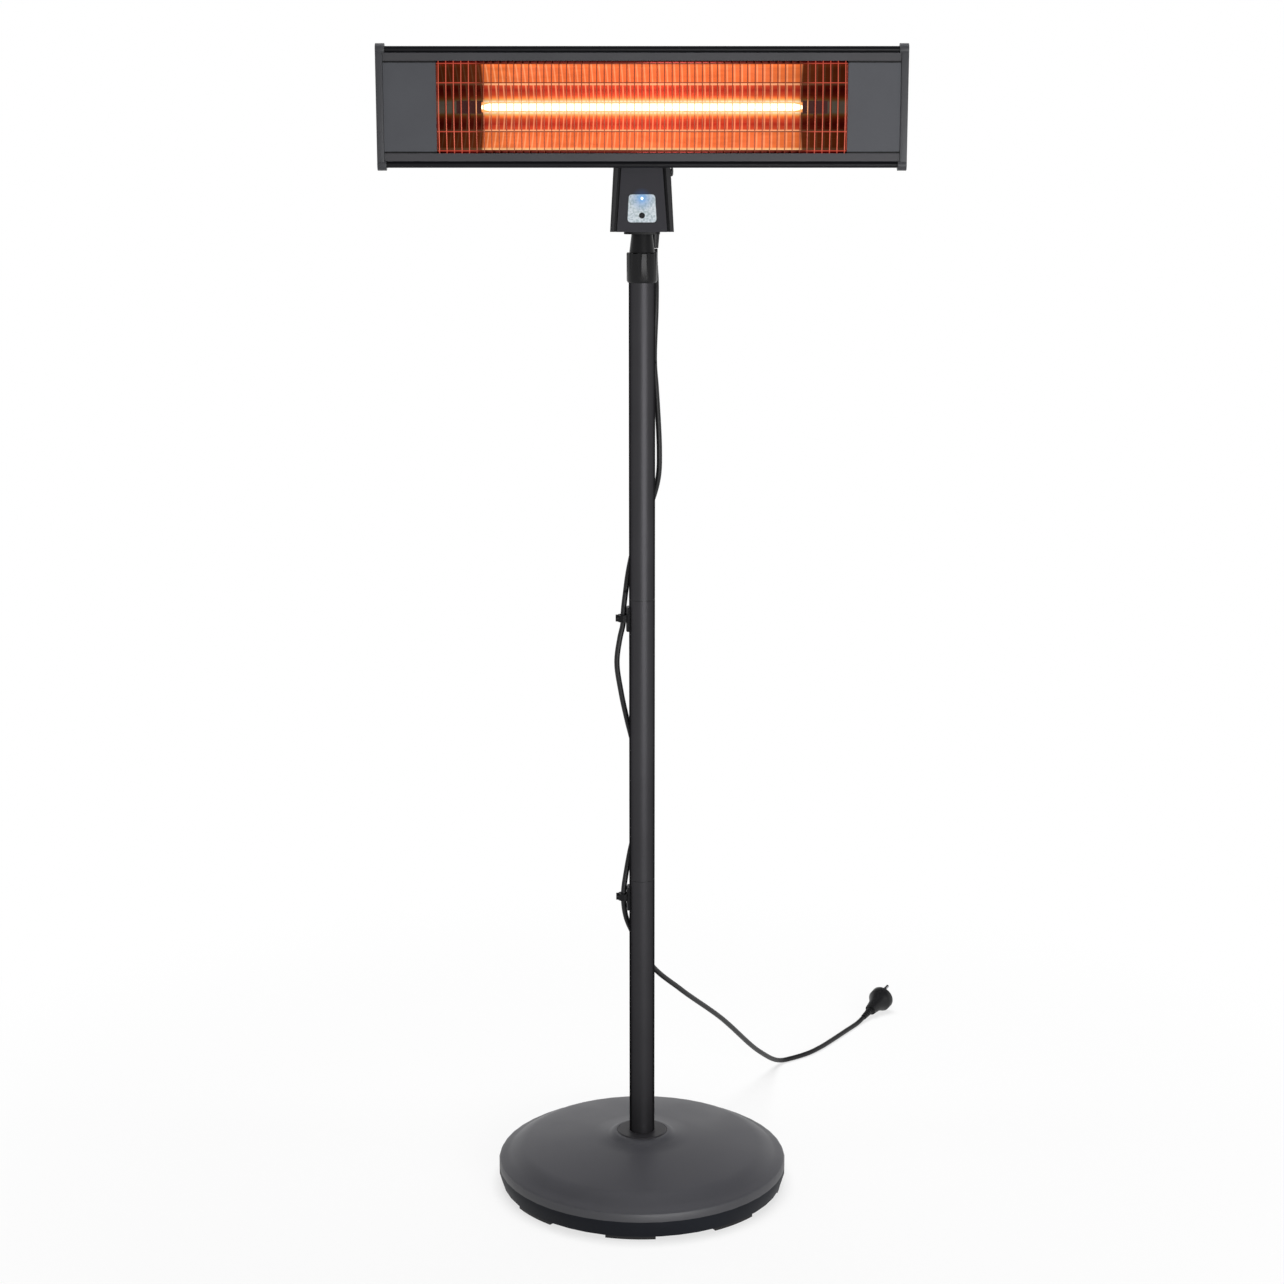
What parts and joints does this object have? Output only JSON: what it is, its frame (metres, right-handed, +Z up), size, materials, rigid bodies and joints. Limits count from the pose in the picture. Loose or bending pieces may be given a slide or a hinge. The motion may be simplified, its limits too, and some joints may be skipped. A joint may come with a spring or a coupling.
{
  "type": "infrared patio heater tower",
  "caption": "Free-standing electric radiant heater: a wide trough head with a lamp behind a wire grille, tilting on a control box above a telescopic pole and a weighted round base.",
  "frame": {"origin": "on the floor under the middle of the base", "axes": "+Z up along the pole, -Y out of the heater's front, +X to the right as seen from the front"},
  "size_m": [0.7135, 0.8432, 1.4732],
  "materials": {
    "base_paint": "satin fine-texture powder coat",
    "cast_weight": "rough casting",
    "pole_paint": "satin powder coat",
    "black_plastic": "fine matt texture",
    "box_plastic": "fine matt texture",
    "rubber": "matt",
    "anodised_housing": "satin grey anodised",
    "face_panel": "satin grey",
    "black_steel": "black oxide",
    "bright_steel": "plain drawn",
    "polished_reflector": "bright rolled aluminium",
    "quartz": "clear",
    "glowing_filament": "glowing orange",
    "ceramic": "dull white steatite",
    "silver_plate": "silver film",
    "blue_lens": "lit",
    "circuit_board": "solder mask"
  },
  "bodies": {
    "stand": {"base_cover": "base_paint", "base_weight": "cast_weight", "base_tray": "black_plastic", "base_foot_1": "rubber", "base_foot_2": "rubber", "base_foot_3": "rubber", "base_foot_4": "rubber", "base_foot_5": "rubber", "base_foot_6": "rubber", "base_foot_7": "rubber", "base_foot_8": "rubber", "hub_flange": "base_paint", "pole_foot_plug": "bright_steel", "stud_nut": "bright_steel", "lower_tube": "pole_paint", "middle_tube": "pole_paint", "upper_tube": "pole_paint", "lower_coupler": "black_steel", "upper_coupler": "black_steel", "clamp_sleeve": "black_plastic", "cable_clip_upper": "black_plastic", "cable_clip_lower": "black_plastic", "power_cord": "rubber", "power_plug": "rubber"},
    "lock_ring": {"lock_nut": "black_plastic"},
    "mast_guide": {"guide_bush": "black_plastic"},
    "mast": {"inner_tube": "pole_paint", "neck_socket": "black_plastic", "box_rear_shell": "box_plastic", "box_front_cover": "box_plastic", "label_plate": "silver_plate", "led_lens": "blue_lens", "button_switch": "black_plastic", "control_board": "circuit_board", "cord_gland": "rubber", "hinge_bolt": "black_steel", "hinge_nut": "bright_steel"},
    "button": {"power_button": "black_plastic"},
    "head": {"head_housing": "anodised_housing", "head_grille": "bright_steel", "reflector": "polished_reflector", "tilt_bracket": "black_steel", "end_cap_left": "black_plastic", "end_cap_right": "black_plastic", "face_panel_left": "face_panel", "face_panel_right": "face_panel", "ceramic_end_left": "ceramic", "ceramic_end_right": "ceramic", "lamp_holder_left": "bright_steel", "lamp_holder_right": "bright_steel", "bracket_screw_left": "black_steel", "bracket_screw_right": "black_steel", "cap_screw_left_upper": "black_steel", "cap_screw_left_lower": "black_steel", "cap_screw_right_upper": "black_steel", "cap_screw_right_lower": "black_steel", "lamp_tube": "quartz", "lamp_filament": "glowing_filament", "terminal_block": "ceramic"}
  },
  "joints": [
    {"name": "lock_turn", "type": "hinge", "parent": "stand", "child": "lock_ring", "pos_m": [0, 0, 1.2], "axis": [0, 0, 1], "range_deg": [0, 120]},
    {"name": "height_slide", "type": "slide", "parent": "stand", "child": "mast_guide", "axis": [0, 0, 1], "range_m": [0, 0.3]},
    {"name": "mast_swivel", "type": "hinge", "parent": "mast_guide", "child": "mast", "pos_m": [0, 0, 1.2], "axis": [0, 0, 1], "range_deg": [-90, 90]},
    {"name": "head_tilt", "type": "hinge", "parent": "mast", "child": "head", "pos_m": [0, 0.006, 1.3217], "axis": [1, 0, 0], "range_deg": [-10, 45]},
    {"name": "button_press", "type": "slide", "parent": "mast", "child": "button", "axis": [0, 1, 0], "range_m": [0, 0.001], "stiffness_N_per_m": 1500, "springref_m": -0.001}
  ]
}
